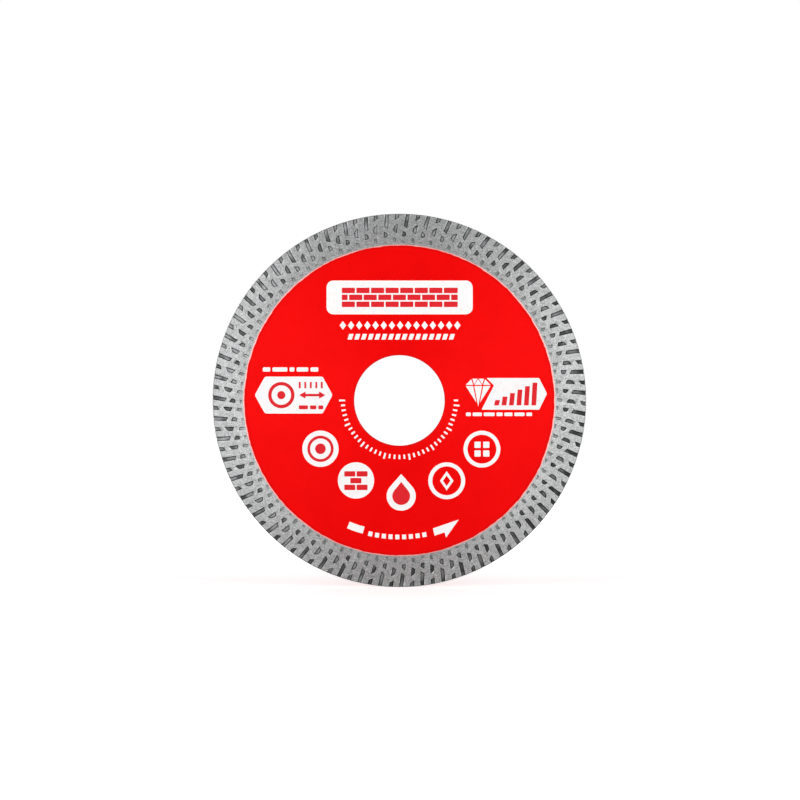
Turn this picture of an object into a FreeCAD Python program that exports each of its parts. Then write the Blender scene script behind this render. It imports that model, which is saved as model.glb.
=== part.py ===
"""A diamond cutting disc with a mesh-pattern rim, as a parametric document in millimetres.

The disc spins about +Y. Its origin is the centre of the arbor hole on the middle plane, +Z is up
and the printed front looks towards -Y. Four pieces make it: a steel core, the sintered diamond
rim that is pressed onto the core's keys, and a lacquer film on each face.
"""

import FreeCAD, Part
import os
import re

import Sketcher

# Every driving size: its name, its value in millimetres, degrees or a count, and what it is.
SIZES = (
    ("rim_radius", 52.5, "outer radius of the cutting rim"),
    ("rim_thickness", 2.0, "thickness of the rim, which clears the kerf for the core"),
    ("rim_width", 8.6, "bare width of the rim, from its edge to where it is flush with the core"),
    ("rim_land", 6.1, "width of the part of the rim that has its full thickness"),
    ("rim_chamfer", 0.15, "chamfer on both outer corners of the rim"),
    ("bore_radius", 12.7, "arbor hole of one inch"),
    ("core_thickness", 1.4, "thickness of the steel core"),
    ("key_count", 55, "dovetail keys around the core, buried in the rim"),
    ("key_turn", 4.0, "turn of the first key from the top, clockwise seen from the front"),
    ("key_length", 1.4, "radial length of a key"),
    ("key_cover", 0.7, "rim that closes over the tips of the keys, measured radially"),
    ("key_root_width", 1.6, "width of a key at its root"),
    ("key_tip_width", 2.2, "width of a key at its tip"),
    ("key_seat", 0.5, "how far a key's outline starts inside the root circle"),
    ("mesh_count", 55, "repeats of the mesh pattern around each face"),
    ("mesh_turn", 2.66, "turn of the first slot from the top, clockwise seen from the front"),
    ("mesh_stagger", 0.25, "turn of the back pattern against the front one, in pattern pitches"),
    ("pocket_depth", 0.45, "depth of every pocket below the full thickness of the rim"),
    ("pocket_width", 1.1, "width of every pocket"),
    ("pocket_lean", 8.0, "lean of the pocket columns, in degrees away from the radius"),
    ("rib_slope", 30.0, "slope of the ribs between the pockets, in degrees"),
    ("slot_length", 3.8, "long slot that is open at the edge"),
    ("slot_rib", 1.25, "rib behind the long slot"),
    ("short_length", 1.45, "short pocket behind that rib"),
    ("short_rib", 1.2, "rib behind the short pocket"),
    ("trace_length", 0.7, "shallow trace at the foot of the slot column"),
    ("notch_length", 1.55, "short notch that is open at the edge"),
    ("notch_rib", 1.67, "rib behind the short notch"),
    ("middle_length", 2.1, "middle pocket behind that rib"),
    ("middle_rib", 1.4, "rib behind the middle pocket"),
    ("tail_length", 1.58, "shallow pocket at the foot of the notch column"),
    ("tail_inset", 0.25, "how much narrower the tail pocket is, at its left side"),
    ("edge_overrun", 1.0, "how far the outlines of the open pockets run past the edge"),
    ("film_thickness", 0.06, "thickness of the lacquer film"),
    ("film_edge_gap", 0.05, "bare ring between the film and the place where the rim starts to rise"),
    ("film_bore_gap", 0.15, "bare ring between the film and the arbor hole"),
)

CORE_EDGE = "(rim_radius - rim_width - key_cover)"
KEY_ROOT = "(rim_radius - rim_width - key_cover - key_length)"

SQUARE = 0
LEFT_HIGH = 1
RIGHT_HIGH = -1

# The pockets of a column from the edge inwards: the rib in front of the pocket, its length, the
# slopes of its outer and inner ends, and how far its left side stands in.
SLOT_COLUMN = (
    ("0", "slot_length", SQUARE, LEFT_HIGH, "0"),
    ("slot_rib", "short_length", LEFT_HIGH, SQUARE, "0"),
    ("short_rib", "trace_length", SQUARE, SQUARE, "0"),
)
NOTCH_COLUMN = (
    ("0", "notch_length", SQUARE, RIGHT_HIGH, "0"),
    ("notch_rib", "middle_length", RIGHT_HIGH, LEFT_HIGH, "0"),
    ("middle_rib", "tail_length", LEFT_HIGH, SQUARE, "tail_inset"),
)

FULL_TURN = 360

document = FreeCAD.newDocument("diamond_blade")


def make_sheet():
    """Write the driving sizes into a spreadsheet, one row each, and name their cells."""
    table = document.addObject("Spreadsheet::Sheet", "sizes")
    for row, (name, value, meaning) in enumerate(SIZES, start=1):
        table.set(f"A{row}", name)
        table.set(f"B{row}", str(value))
        table.set(f"C{row}", meaning)
        table.setAlias(f"B{row}", name)
    document.recompute()
    return table


sheet = make_sheet()
ALIASES = re.compile(r"\b(" + "|".join(name for name, _, _ in SIZES) + r")\b")


def in_sheet(expression):
    """Point every size named in an expression at its cell."""
    return ALIASES.sub(r"sizes.\1", expression)


def value_of(expression):
    """The present value of an expression, as a plain number."""
    value = sheet.evalExpression(in_sheet(expression))
    return float(getattr(value, "Value", value))


def bind(item, path, expression):
    """Bind a property of a document object to the sheet."""
    item.setExpression(path, in_sheet(expression))


def origin_feature(body, role):
    """The body's own origin plane or axis with that role."""
    return next(item for item in body.Origin.OriginFeatures if item.Role == role)


def new_body(name):
    """A body whose label names its file, with its placement at the disc's origin."""
    body = document.addObject("PartDesign::Body", name)
    body.Label = name
    body.Placement = FreeCAD.Placement()
    return body


def new_sketch(body, name, role="XZ_Plane"):
    """A sketch on one of the body's own origin planes."""
    sketch = body.newObject("Sketcher::SketchObject", name)
    sketch.AttachmentSupport = (origin_feature(body, role), [""])
    sketch.MapMode = "FlatFace"
    sketch.AttachmentOffset = FreeCAD.Placement(
        FreeCAD.Vector(), FreeCAD.Rotation(FreeCAD.Vector(0, 0, 1), 0)
    )
    return sketch


def pin_point(sketch, geometry, point, corner):
    """Hold a point of the sketch at a pair of expressions."""
    for kind, expression in zip(("DistanceX", "DistanceY"), corner):
        constraint = Sketcher.Constraint(kind, geometry, point, value_of(expression))
        index = sketch.addConstraint(constraint)
        bind(sketch, f"Constraints[{index}]", expression)


def add_outline(sketch, corners):
    """Draw a closed polygon whose corners are pairs of expressions."""
    first = sketch.GeometryCount
    count = len(corners)
    points = [FreeCAD.Vector(value_of(x), value_of(y), 0) for x, y in corners]
    for start, end in zip(points, points[1:] + points[:1]):
        sketch.addGeometry(Part.LineSegment(start, end))
    for side in range(count):
        following = first + (side + 1) % count
        sketch.addConstraint(Sketcher.Constraint("Coincident", first + side, 2, following, 1))
    for side, corner in enumerate(corners):
        pin_point(sketch, first + side, 1, corner)


def add_circle(sketch, radius):
    """Draw a circle about the sketch's origin with its radius bound to an expression."""
    circle = Part.Circle(FreeCAD.Vector(), FreeCAD.Vector(0, 0, 1), value_of(radius))
    index = sketch.addGeometry(circle)
    sketch.addConstraint(Sketcher.Constraint("Coincident", index, 3, -1, 1))
    rule = sketch.addConstraint(Sketcher.Constraint("Radius", index, value_of(radius)))
    bind(sketch, f"Constraints[{rule}]", radius)


def add_feature(body, kind, name, sketch, **sizes):
    """Add a sketch-based feature to the body, bind its sizes and check that it took effect."""
    base = body.Tip
    before = base.Shape.Volume if base and not base.Shape.isNull() else 0.0
    feature = body.newObject(kind, name)
    feature.Profile = sketch
    for path, expression in sizes.items():
        if isinstance(expression, str):
            bind(feature, path, expression)
        else:
            setattr(feature, path, expression)
    sketch.Visibility = False
    document.recompute()
    change = feature.Shape.Volume - before
    if kind == "PartDesign::Pocket":
        change = -change
    if change <= 0:
        raise RuntimeError(f"{name} changed nothing")
    return feature


def add_polar_pattern(body, name, originals, count, refine=True):
    """Repeat features evenly about the spin axis and make the result the body's tip."""
    pattern = body.newObject("PartDesign::PolarPattern", name)
    pattern.Originals = originals
    pattern.Refine = refine
    pattern.Axis = (origin_feature(body, "Y_Axis"), [""])
    pattern.Angle = FULL_TURN
    bind(pattern, "Occurrences", count)
    body.Tip = pattern
    document.recompute()
    return pattern


def draw_key(body, name):
    """A sketch of the first dovetail key, which the core and its seat in the rim share."""
    sketch = new_sketch(body, name)
    start = f"{KEY_ROOT} - key_seat"
    add_outline(
        sketch,
        (
            ("-key_root_width / 2", start),
            ("key_root_width / 2", start),
            ("key_tip_width / 2", CORE_EDGE),
            ("-key_tip_width / 2", CORE_EDGE),
        ),
    )
    bind(sketch, "AttachmentOffset.Rotation.Angle", "-key_turn")
    return sketch


def make_steel_core():
    """The bored steel disc with dovetail keys around its edge."""
    body = new_body("steel_core")
    blank = new_sketch(body, "blank_outline")
    add_circle(blank, KEY_ROOT)
    add_circle(blank, "bore_radius")
    add_feature(body, "PartDesign::Pad", "blank", blank, Length="core_thickness", Midplane=True)
    outline = draw_key(body, "core_key_outline")
    key = add_feature(
        body, "PartDesign::Pad", "core_key", outline, Length="core_thickness", Midplane=True
    )
    add_polar_pattern(body, "core_keys", [key], "key_count")
    return body


def rim_section():
    """Corners of the rim's section, as radius and distance along the spin axis."""
    half_profile = (
        (KEY_ROOT, "core_thickness / 2"),
        ("rim_radius - rim_width", "core_thickness / 2"),
        ("rim_radius - rim_land", "rim_thickness / 2"),
        ("rim_radius - rim_chamfer", "rim_thickness / 2"),
        ("rim_radius", "(rim_thickness / 2 - rim_chamfer)"),
    )
    front = [(radius, f"-{height}") for radius, height in half_profile]
    return front + list(reversed(half_profile))


def pocket_end(depth, slope, inset):
    """The left and right corners of a pocket's end, in the frame of its column."""
    corners = []
    for sideways in (f"(-pocket_width / 2 + {inset})", "(pocket_width / 2)"):
        height = f"(rim_radius - ({depth}) - {slope} * {sideways} * tan(rib_slope * 1 deg))"
        lean = f"({height} - rim_radius) * tan(pocket_lean * 1 deg)"
        corners.append((f"{sideways} + {lean}", height))
    return corners


def draw_column(sketch, column):
    """Draw the pockets of a column, which starts at the edge and leans as it goes inwards."""
    depth = "0"
    for rib, length, outer_slope, inner_slope, inset in column:
        near = f"{depth} + {rib}"
        depth = f"{near} + {length}"
        start = "-edge_overrun" if rib == "0" else near
        outer_left, outer_right = pocket_end(start, outer_slope, inset)
        inner_left, inner_right = pocket_end(depth, inner_slope, inset)
        add_outline(sketch, (outer_left, outer_right, inner_right, inner_left))


def cut_column(body, name, column, pitches, at_front):
    """Cut one column of pockets into a face, turned by a number of pattern pitches."""
    sketch = new_sketch(body, f"{name}_outline")
    draw_column(sketch, column)
    side = 1 if at_front else -1
    bind(sketch, "AttachmentOffset.Base.z", f"{side} * rim_thickness / 2")
    turn = f"-(mesh_turn + ({pitches}) * {FULL_TURN} / mesh_count)"
    bind(sketch, "AttachmentOffset.Rotation.Angle", turn)
    return add_feature(
        body, "PartDesign::Pocket", name, sketch, Length="pocket_depth", Reversed=not at_front
    )


def make_diamond_rim():
    """The sintered ring: a revolved section with a seat for each key and a mesh of pockets."""
    body = new_body("diamond_rim")
    section = new_sketch(body, "rim_profile", "XY_Plane")
    add_outline(section, rim_section())
    axis = (origin_feature(body, "Y_Axis"), [""])
    add_feature(body, "PartDesign::Revolution", "ring", section, ReferenceAxis=axis)
    outline = draw_key(body, "key_seat_outline")
    seat = add_feature(
        body, "PartDesign::Pocket", "key_seat_cut", outline, Length="rim_thickness", Midplane=True
    )
    add_polar_pattern(body, "key_seats", [seat], "key_count")
    columns = (
        cut_column(body, "front_slots", SLOT_COLUMN, "0", True),
        cut_column(body, "front_notches", NOTCH_COLUMN, "0.5", True),
        cut_column(body, "back_slots", SLOT_COLUMN, "mesh_stagger", False),
        cut_column(body, "back_notches", NOTCH_COLUMN, "0.5 + mesh_stagger", False),
    )
    add_polar_pattern(body, "mesh", list(columns), "mesh_count", refine=False)
    return body


def make_film(name, at_front):
    """The lacquer film on one face, which covers the core and the joint with the rim."""
    body = new_body(name)
    ring = new_sketch(body, f"{name}_outline")
    add_circle(ring, "rim_radius - rim_width - film_edge_gap")
    add_circle(ring, "bore_radius + film_bore_gap")
    side = 1 if at_front else -1
    bind(ring, "AttachmentOffset.Base.z", f"{side} * core_thickness / 2")
    add_feature(
        body, "PartDesign::Pad", f"{name}_layer", ring,
        Length="film_thickness", Reversed=not at_front,
    )
    return body


def check_document(bodies):
    """Stop if any object failed to compute or any piece has no sound shape."""
    for item in document.Objects:
        if "Invalid" in item.State or "Error" in item.State:
            raise RuntimeError(f"{item.Label} failed: {item.State}")
    for body in bodies:
        if body.Shape.isNull() or not body.Shape.isValid():
            raise RuntimeError(f"{body.Label} has no valid shape")


def export_parts(bodies):
    """Write each piece to a file named after its label."""
    os.makedirs("parts", exist_ok=True)
    for body in bodies:
        body.Shape.exportStep(f"parts/{body.Label}.step")


pieces = [
    make_steel_core(),
    make_diamond_rim(),
    make_film("front_coating", at_front=True),
    make_film("back_coating", at_front=False),
]
document.recompute()
check_document(pieces)
export_parts(pieces)
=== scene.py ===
"""Looks of a diamond cutting disc with a mesh-pattern rim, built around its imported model.

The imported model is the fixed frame: the disc spins about +Y, +Z is up and the printed front looks
towards -Y. New pieces are modelled flat in millimetres, with X to the right, Y towards the top of
the disc and Z towards the viewer, and are stood up into the frame when they are finished.
"""

import logging
import math
import random
from collections.abc import Callable, Iterator, Sequence
from contextlib import contextmanager
from dataclasses import dataclass, field
from enum import Enum, IntEnum

import bmesh
import bpy
from mathutils import Matrix, Vector


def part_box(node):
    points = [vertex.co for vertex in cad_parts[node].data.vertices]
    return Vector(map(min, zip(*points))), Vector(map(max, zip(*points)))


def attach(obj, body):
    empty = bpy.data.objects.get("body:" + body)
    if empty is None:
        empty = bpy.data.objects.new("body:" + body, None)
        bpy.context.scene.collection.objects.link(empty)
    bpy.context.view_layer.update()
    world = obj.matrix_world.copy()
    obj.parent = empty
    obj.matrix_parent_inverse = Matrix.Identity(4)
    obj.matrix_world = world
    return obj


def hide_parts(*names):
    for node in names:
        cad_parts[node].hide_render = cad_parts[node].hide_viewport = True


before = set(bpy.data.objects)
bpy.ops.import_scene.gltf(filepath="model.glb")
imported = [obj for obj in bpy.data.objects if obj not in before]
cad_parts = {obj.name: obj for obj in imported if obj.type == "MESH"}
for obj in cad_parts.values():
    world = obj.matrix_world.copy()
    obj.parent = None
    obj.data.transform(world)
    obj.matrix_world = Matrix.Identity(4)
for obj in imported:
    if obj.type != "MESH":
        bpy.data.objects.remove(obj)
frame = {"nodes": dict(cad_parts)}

LOG = logging.getLogger("diamond_blade")
MILLIMETRE = 0.001
BODY = "root"
TOUCHING = 1e-4
SLACK = 0.01
SMOOTH = {"interpolation_type": "SMOOTHSTEP"}

Point = tuple[float, float]
Colour = tuple[float, float, float, float]
Socket = bpy.types.NodeSocket
Paint = str | Socket
Part = bmesh.types.BMFace | bmesh.types.BMEdge


class Side(Enum):
    """A face of the disc, with the turn about +Z that brings the front's marks onto it."""

    FRONT = 0.0
    BACK = math.pi


# ---------------------------------------------------------------------------------------------
# Modelling helpers


@contextmanager
def editing(piece: bpy.types.Object, mode: str = "FACE") -> Iterator[None]:
    """Open one piece in edit mode with nothing selected.

    Args:
        piece: the mesh object to edit, which becomes the only selected object.
        mode: what is selected in it, "VERT", "EDGE" or "FACE".

    Returns:
        Nothing, for the time that the piece is open.
    """
    bpy.ops.object.select_all(action="DESELECT")
    bpy.context.view_layer.objects.active = piece
    piece.select_set(True)
    bpy.ops.object.mode_set(mode="EDIT")
    bpy.ops.mesh.select_mode(type=mode)
    bpy.ops.mesh.select_all(action="DESELECT")
    yield
    bpy.ops.object.mode_set(mode="OBJECT")


def select(piece: bpy.types.Object, kind: str, test: Callable[[Part], bool]) -> None:
    """Select the faces or the edges of a piece that pass a test, and no others.

    Args:
        piece: the mesh object, which is in edit mode.
        kind: "faces" or "edges".
        test: whether one of them is wanted.
    """
    mesh = bmesh.from_edit_mesh(piece.data)
    for part in getattr(mesh, kind):
        part.select_set(False)
    for part in getattr(mesh, kind):
        if test(part):
            part.select_set(True)
    bmesh.update_edit_mesh(piece.data)


def copy_of(piece: bpy.types.Object, change: Matrix) -> bpy.types.Object:
    """Copy a piece with its own mesh and move the copy's vertices.

    Args:
        piece: the mesh object to copy.
        change: the transform for the copy's vertices.

    Returns:
        The new object, linked to the scene.
    """
    twin = piece.copy()
    twin.data = piece.data.copy()
    twin.data.transform(change)
    bpy.context.scene.collection.objects.link(twin)
    return twin


def joined(pieces: Sequence[bpy.types.Object], name: str) -> bpy.types.Object:
    """Join mesh objects into one and name it.

    Args:
        pieces: the objects, which become one.
        name: the name of the joined object and its mesh.

    Returns:
        The joined object.
    """
    bpy.ops.object.select_all(action="DESELECT")
    for piece in pieces:
        piece.select_set(True)
    bpy.context.view_layer.objects.active = pieces[0]
    bpy.ops.object.join()
    whole = bpy.context.object
    whole.name = whole.data.name = name
    return whole


def stand_up(piece: bpy.types.Object, side: Side = Side.FRONT) -> None:
    """Turn a piece modelled flat in millimetres into its place in the frame, in metres.

    Args:
        piece: the mesh object.
        side: the face of the disc that it is for.
    """
    upright = Matrix.Rotation(math.pi / 2, 4, "X")
    onto_side = Matrix.Rotation(side.value, 4, "Z")
    piece.data.transform(onto_side @ upright @ Matrix.Scale(MILLIMETRE, 4))
    piece.data.update()


def dress(piece: bpy.types.Object, material: bpy.types.Material) -> None:
    """Give a piece one material.

    Args:
        piece: the mesh object, with or without material slots.
        material: what it is made of.
    """
    if piece.material_slots:
        for slot in piece.material_slots:
            slot.material = material
    else:
        piece.data.materials.append(material)


def place(piece: bpy.types.Object) -> None:
    """Let a finished piece ride with the disc and report it."""
    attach(piece, BODY)
    LOG.info("%s: %d faces", piece.name, len(piece.data.polygons))


def turned(point: Point, clockwise: float) -> Point:
    """Turn a point about the disc's centre.

    Args:
        point: the point.
        clockwise: the angle in degrees.

    Returns:
        Where it comes to lie.
    """
    (x, y), angle = point, math.radians(clockwise)
    return (
        x * math.cos(angle) + y * math.sin(angle),
        y * math.cos(angle) - x * math.sin(angle),
    )


# ---------------------------------------------------------------------------------------------
# Finishes


def linear(colour: str) -> Colour:
    """Turn an sRGB colour into a linear one.

    Args:
        colour: the colour as "#" and six hex digits.

    Returns:
        Its linear red, green and blue, with full alpha.
    """
    shares = [int(colour[i : i + 2], 16) / 255 for i in (1, 3, 5)]
    red, green, blue = (
        s / 12.92 if s <= 0.04045 else ((s + 0.055) / 1.055) ** 2.4 for s in shares
    )
    return red, green, blue, 1.0


class Graph:
    """The node tree of a material or of the world, emptied and filled anew."""

    def __init__(self, owner: bpy.types.ID) -> None:
        """Empty the tree.

        Args:
            owner: the material or the world whose tree it is.
        """
        owner.use_nodes = True
        self.tree = owner.node_tree
        self.tree.nodes.clear()

    def add(
        self, kind: str, inputs: dict | tuple = (), output: str | int = 0, **settings: object
    ) -> Socket:
        """Add one node with its settings and links.

        Args:
            kind: the node's type without its "ShaderNode" prefix.
            inputs: a value, or a socket to link, for each input in order, or by name or number.
            output: which of the node's outputs is wanted.
            settings: the node's own properties.

        Returns:
            The wanted output socket, or the node's first input where it has no output.
        """
        node = self.tree.nodes.new(f"ShaderNode{kind}")
        for name, value in settings.items():
            setattr(node, name, value)
        for key, value in inputs.items() if isinstance(inputs, dict) else enumerate(inputs):
            if isinstance(value, Socket):
                self.tree.links.new(value, node.inputs[key])
            else:
                node.inputs[key].default_value = value
        return node.outputs[output] if node.outputs else node.inputs[0]

    def layered(self, base: Paint, *layers: tuple[Socket, float, Paint]) -> Socket:
        """Lay colours over a base, one after another.

        Args:
            base: the first colour.
            layers: where each further colour lies, how strong it is there, and the colour.

        Returns:
            The colour on top.
        """
        for where, strength, colour in layers:
            share = self.add("Math", (where, strength), operation="MULTIPLY")
            under, over = (linear(c) if isinstance(c, str) else c for c in (base, colour))
            base = self.add("Mix", {0: share, 6: under, 7: over}, output=2, data_type="RGBA")
        return base

    def toned(self, colour: Socket, *factors: tuple[Socket, float | Socket, float]) -> Socket:
        """Darken or lighten a colour where patterns say so.

        Args:
            colour: the colour, or its plain red, green and blue.
            factors: a pattern, its gain and the factor where the pattern is nothing, for each.

        Returns:
            The colour times every factor.
        """
        for pattern in factors:
            factor = self.add("Math", pattern, operation="MULTIPLY_ADD")
            colour = self.add("VectorMath", {0: colour, "Scale": factor}, operation="SCALE")
        return colour

    def seen_directly(self) -> Socket:
        """Find what is seen rather than only lighting.

        Returns:
            One for rays from the camera, a reflection or a transmission, else nothing.
        """
        camera, glossy, clear = (
            self.add("LightPath", output=f"Is {kind} Ray")
            for kind in ("Camera", "Glossy", "Transmission")
        )
        seen = self.add("Math", (camera, glossy), operation="MAXIMUM")
        return self.add("Math", (seen, clear), operation="MAXIMUM")


@dataclass(frozen=True)
class Polar:
    """Sockets that say where a point lies on the disc: its radius, outward direction and height."""

    place: Socket
    radius: Socket
    outward: Socket
    height: Socket

    @classmethod
    def of(cls, graph: Graph) -> "Polar":
        """Read the object's own coordinates.

        Args:
            graph: the tree to add to.

        Returns:
            The sockets, in millimetres.
        """
        where = graph.add("TexCoord", output="Object")
        where = graph.add("VectorMath", {0: where, "Scale": 1 / MILLIMETRE}, operation="SCALE")
        flat = graph.add("VectorMath", (where, (1, 0, 1)), operation="MULTIPLY")
        radius = graph.add("VectorMath", (flat,), "Value", operation="LENGTH")
        outward = graph.add("VectorMath", (flat,), operation="NORMALIZE")
        height = graph.add("SeparateXYZ", (where,), "Y")
        return cls(where, radius, outward, graph.add("Math", (height,), operation="ABSOLUTE"))

    def drawn(self, graph: Graph, across: float, around: float) -> Socket:
        """A position for patterns drawn out around the disc or along its radius, with no seam.

        Args:
            graph: the tree to add to.
            across: pattern units in a millimetre of radius.
            around: pattern units in a radian.

        Returns:
            The position socket.
        """
        outward = graph.add("VectorMath", {0: self.outward, "Scale": around}, operation="SCALE")
        level = graph.add("Math", (self.radius, across), operation="MULTIPLY")
        level = graph.add("CombineXYZ", {"Y": level})
        return graph.add("VectorMath", (outward, level), operation="ADD")

    def facing(self, graph: Graph) -> Socket:
        """One on the disc's flat faces and nothing on surfaces square to them.

        Args:
            graph: the tree to add to.

        Returns:
            The share, with a smooth step between the two.
        """
        across = graph.add("SeparateXYZ", (graph.add("TexCoord", output="Normal"),), "Y")
        across = graph.add("Math", (across,), operation="ABSOLUTE")
        return graph.add("MapRange", (across, 0.6, 0.8), **SMOOTH)


@dataclass(frozen=True)
class Finish:
    """A material that is named for what the real one is."""

    name: str

    def make(self) -> bpy.types.Material:
        """Build the material.

        Returns:
            The material.
        """
        material = bpy.data.materials.new(self.name)
        graph = Graph(material)
        graph.add("OutputMaterial", {"Surface": self.surface(graph, Polar.of(graph))})
        return material

    def surface(self, graph: Graph, polar: Polar) -> Socket:
        """Draw the surface.

        Args:
            graph: the material's tree.
            polar: where the point lies on the disc.

        Returns:
            The socket of its shader.
        """
        raise NotImplementedError


@dataclass(frozen=True)
class SinteredRim(Finish):
    """Pressed and sintered metal powder with diamond grit, ground flat on its lands.

    Grinding leaves fine marks around the disc, so the lands brighten in a fan to the left and
    right; the pockets keep the dull, darker skin of the pressing, darkened further by painted
    shade, and their floors are painted paler on one side as painted light.
    """

    name: str = "sintered_diamond_metal"
    land: str = "#9b9c9c"
    pale_grit: str = "#c9c9c7"
    dark_grain: str = "#838484"
    # Near-black painted shade for the walls of the deep pockets and for the pits.
    wall: str = "#0e0f10"
    # The pocket floors are darker than the lands partly by the pressed skin's own colour and partly
    # by painted shade, more in the deep pockets than in the shallow ones at the foot.
    pocket: str = "#6a6c6d"
    foot: str = "#7b7f7e"
    foot_tone: float = 0.9
    # Direction towards the upper left, from which painted light makes the pocket floors paler.
    painted_light_side: tuple[float, float, float] = (-0.77, 0.0, 0.64)
    floor_height: float = 0.55
    foot_radius: float = 45.9
    ground_radius: float = 46.4
    edge_radius: float = 52.4

    def surface(self, graph: Graph, polar: Polar) -> Socket:
        """Draw the ground lands, with the pressed pockets sunk between them.

        Args:
            graph: the material's tree.
            polar: where the point lies on the disc.

        Returns:
            The socket of its shader.
        """
        land, relief, roughness = self.land_skin(graph, polar)
        foot = (polar.radius, self.foot_radius, self.foot_radius + 0.4)
        deep = graph.add("MapRange", foot, **SMOOTH)
        floor, wall = self.depths(graph, polar)
        sunk = self.pocket_skin(graph, polar, deep)
        # Painted shade: the walls of the deep pockets are painted near-black; those of the shallow
        # pockets at the foot keep the foot's colour.
        steep = graph.layered(self.foot, (deep, 1.0, self.wall))
        dull = graph.add("Math", (floor, wall), operation="MAXIMUM")
        dull = graph.add("Math", (dull, deep), operation="MULTIPLY")
        bump = graph.add("Bump", {"Height": relief, "Strength": 0.3, "Distance": 0.00004})
        return graph.add(
            "BsdfPrincipled",
            {
                "Base Color": graph.layered(land, (floor, 1.0, sunk), (wall, 1.0, steep)),
                "Metallic": graph.add("Math", (dull, -0.9, 1.0), operation="MULTIPLY_ADD"),
                "Roughness": graph.add("Math", (dull, 0.3, roughness), operation="MULTIPLY_ADD"),
                "Specular IOR Level": 0.2, "Anisotropic": 0.8,
                "Tangent": polar.outward, "Normal": bump,
            },
        )

    def land_skin(self, graph: Graph, polar: Polar) -> tuple[Socket, ...]:
        """Ground metal with pale grit in it, small pits and grinding marks around the disc.

        Args:
            graph: the tree to add to.
            polar: where the point lies.

        Returns:
            Its colour, its relief and its roughness.
        """
        where = polar.place
        clouds = graph.add("TexNoise", {"Vector": where, "Scale": 0.35, "Detail": 3.0})
        grain = graph.add("TexNoise", {"Vector": where, "Scale": 2.6, "Detail": 4.0})
        fine = graph.add("MapRange", (grain, 0.36, 0.66), **SMOOTH)
        # Grinding marks are about 0.05 mm apart, and are drawn 0.2 mm apart so that they show.
        turning = polar.drawn(graph, 5.0, 70.0)
        marks = graph.add("TexNoise", {"Vector": turning, "Scale": 1.0, "Detail": 3.0})
        # Grit of 0.3 to 0.5 mm gives cells of about half a millimetre, most of them empty.
        flecks = self.flecks(graph, where, 1.9, 0.6)
        pits = self.flecks(graph, where, 2.1, 0.62)
        ground = (polar.radius, self.ground_radius, self.ground_radius - 0.8)
        unground = graph.add("MapRange", ground, **SMOOTH)
        coarse = self.flecks(graph, where, 1.5, 0.45)
        coarse = graph.add("Math", (coarse, unground), operation="MULTIPLY")
        # The pits are painted near-black with the walls' painted shade.
        colour = graph.layered(
            self.dark_grain, (fine, 1.0, self.land), (flecks, 0.4, self.pale_grit),
            (pits, 0.8, self.wall), (coarse, 0.6, self.pocket),
        )
        relief = graph.add("Math", (marks, 0.6, grain), operation="MULTIPLY_ADD")
        relief = graph.add("Math", (flecks, 0.5, relief), operation="MULTIPLY_ADD")
        return (
            graph.toned(colour, (clouds, 0.24, 0.88), (marks, 1.0, 0.52)),
            graph.add("Math", (relief, pits), operation="SUBTRACT"),
            graph.add("Math", (grain, 0.16, 0.42), operation="MULTIPLY_ADD"),
        )

    def pocket_skin(self, graph: Graph, polar: Polar, deep: Socket) -> Socket:
        """Streaked and patchy floors, darker at the rim's edge and painted paler on one side as
        painted light.

        Args:
            graph: the tree to add to.
            polar: where the point lies.
            deep: nothing in the shallow pockets at the rim's foot and one in the others.

        Returns:
            Their colour.
        """
        # Streaks a third of a millimetre wide run out along each pocket, as the press leaves them.
        streaks = {"Vector": polar.drawn(graph, 0.5, 150.0), "Scale": 1.0, "Detail": 2.0}
        streaks = graph.add("TexNoise", streaks)
        patches = graph.add("TexNoise", {"Vector": polar.place, "Scale": 0.3, "Detail": 1.0})
        patches = graph.add("MapRange", (patches, 0.38, 0.62), **SMOOTH)
        # Painted light: floors on the upper left of the disc are painted paler and those on the
        # lower right darker, as if lit from there.
        tone_shift = (polar.outward, self.painted_light_side)
        tone_shift = graph.add("VectorMath", tone_shift, "Value", operation="DOT_PRODUCT")
        tone_shift = graph.add("Math", (tone_shift, 0.55, 1.08), operation="MULTIPLY_ADD")
        tone = graph.add("Math", (patches, 1.1, 0.42), operation="MULTIPLY_ADD")
        tone = graph.add("Math", (tone, tone_shift), operation="MULTIPLY")
        tone = graph.add("Math", (tone, self.foot_tone), operation="SUBTRACT")
        share = graph.add("Math", (deep, 0.8, 0.2), operation="MULTIPLY_ADD")
        # Pocket floors darken towards the rim's edge.
        towards_edge = graph.add(
            "MapRange", (polar.radius, self.edge_radius - 2.4, self.edge_radius), **SMOOTH
        )
        return graph.toned(
            graph.layered(self.foot, (deep, 1.0, self.pocket)),
            (streaks, 1.3, 0.35), (tone, share, self.foot_tone), (towards_edge, -0.28, 1.04),
        )

    @staticmethod
    def flecks(graph: Graph, where: Socket, scale: float, rarity: float) -> Socket:
        """Scattered small grains.

        Args:
            graph: the tree to add to.
            where: the position in millimetres.
            scale: grains in a millimetre.
            rarity: the share of the cells that stay empty.

        Returns:
            One on the grains and nothing between them.
        """
        cells = {"Vector": where, "Scale": scale}
        near = graph.add("TexVoronoi", cells, "Distance")
        near = graph.add("MapRange", (near, 0.32, 0.16), **SMOOTH)
        kind = graph.add("SeparateColor", (graph.add("TexVoronoi", cells, "Color"),))
        chosen = graph.add("MapRange", (kind, rarity, rarity + 0.15), **SMOOTH)
        return graph.add("Math", (near, chosen), operation="MULTIPLY")

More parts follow.
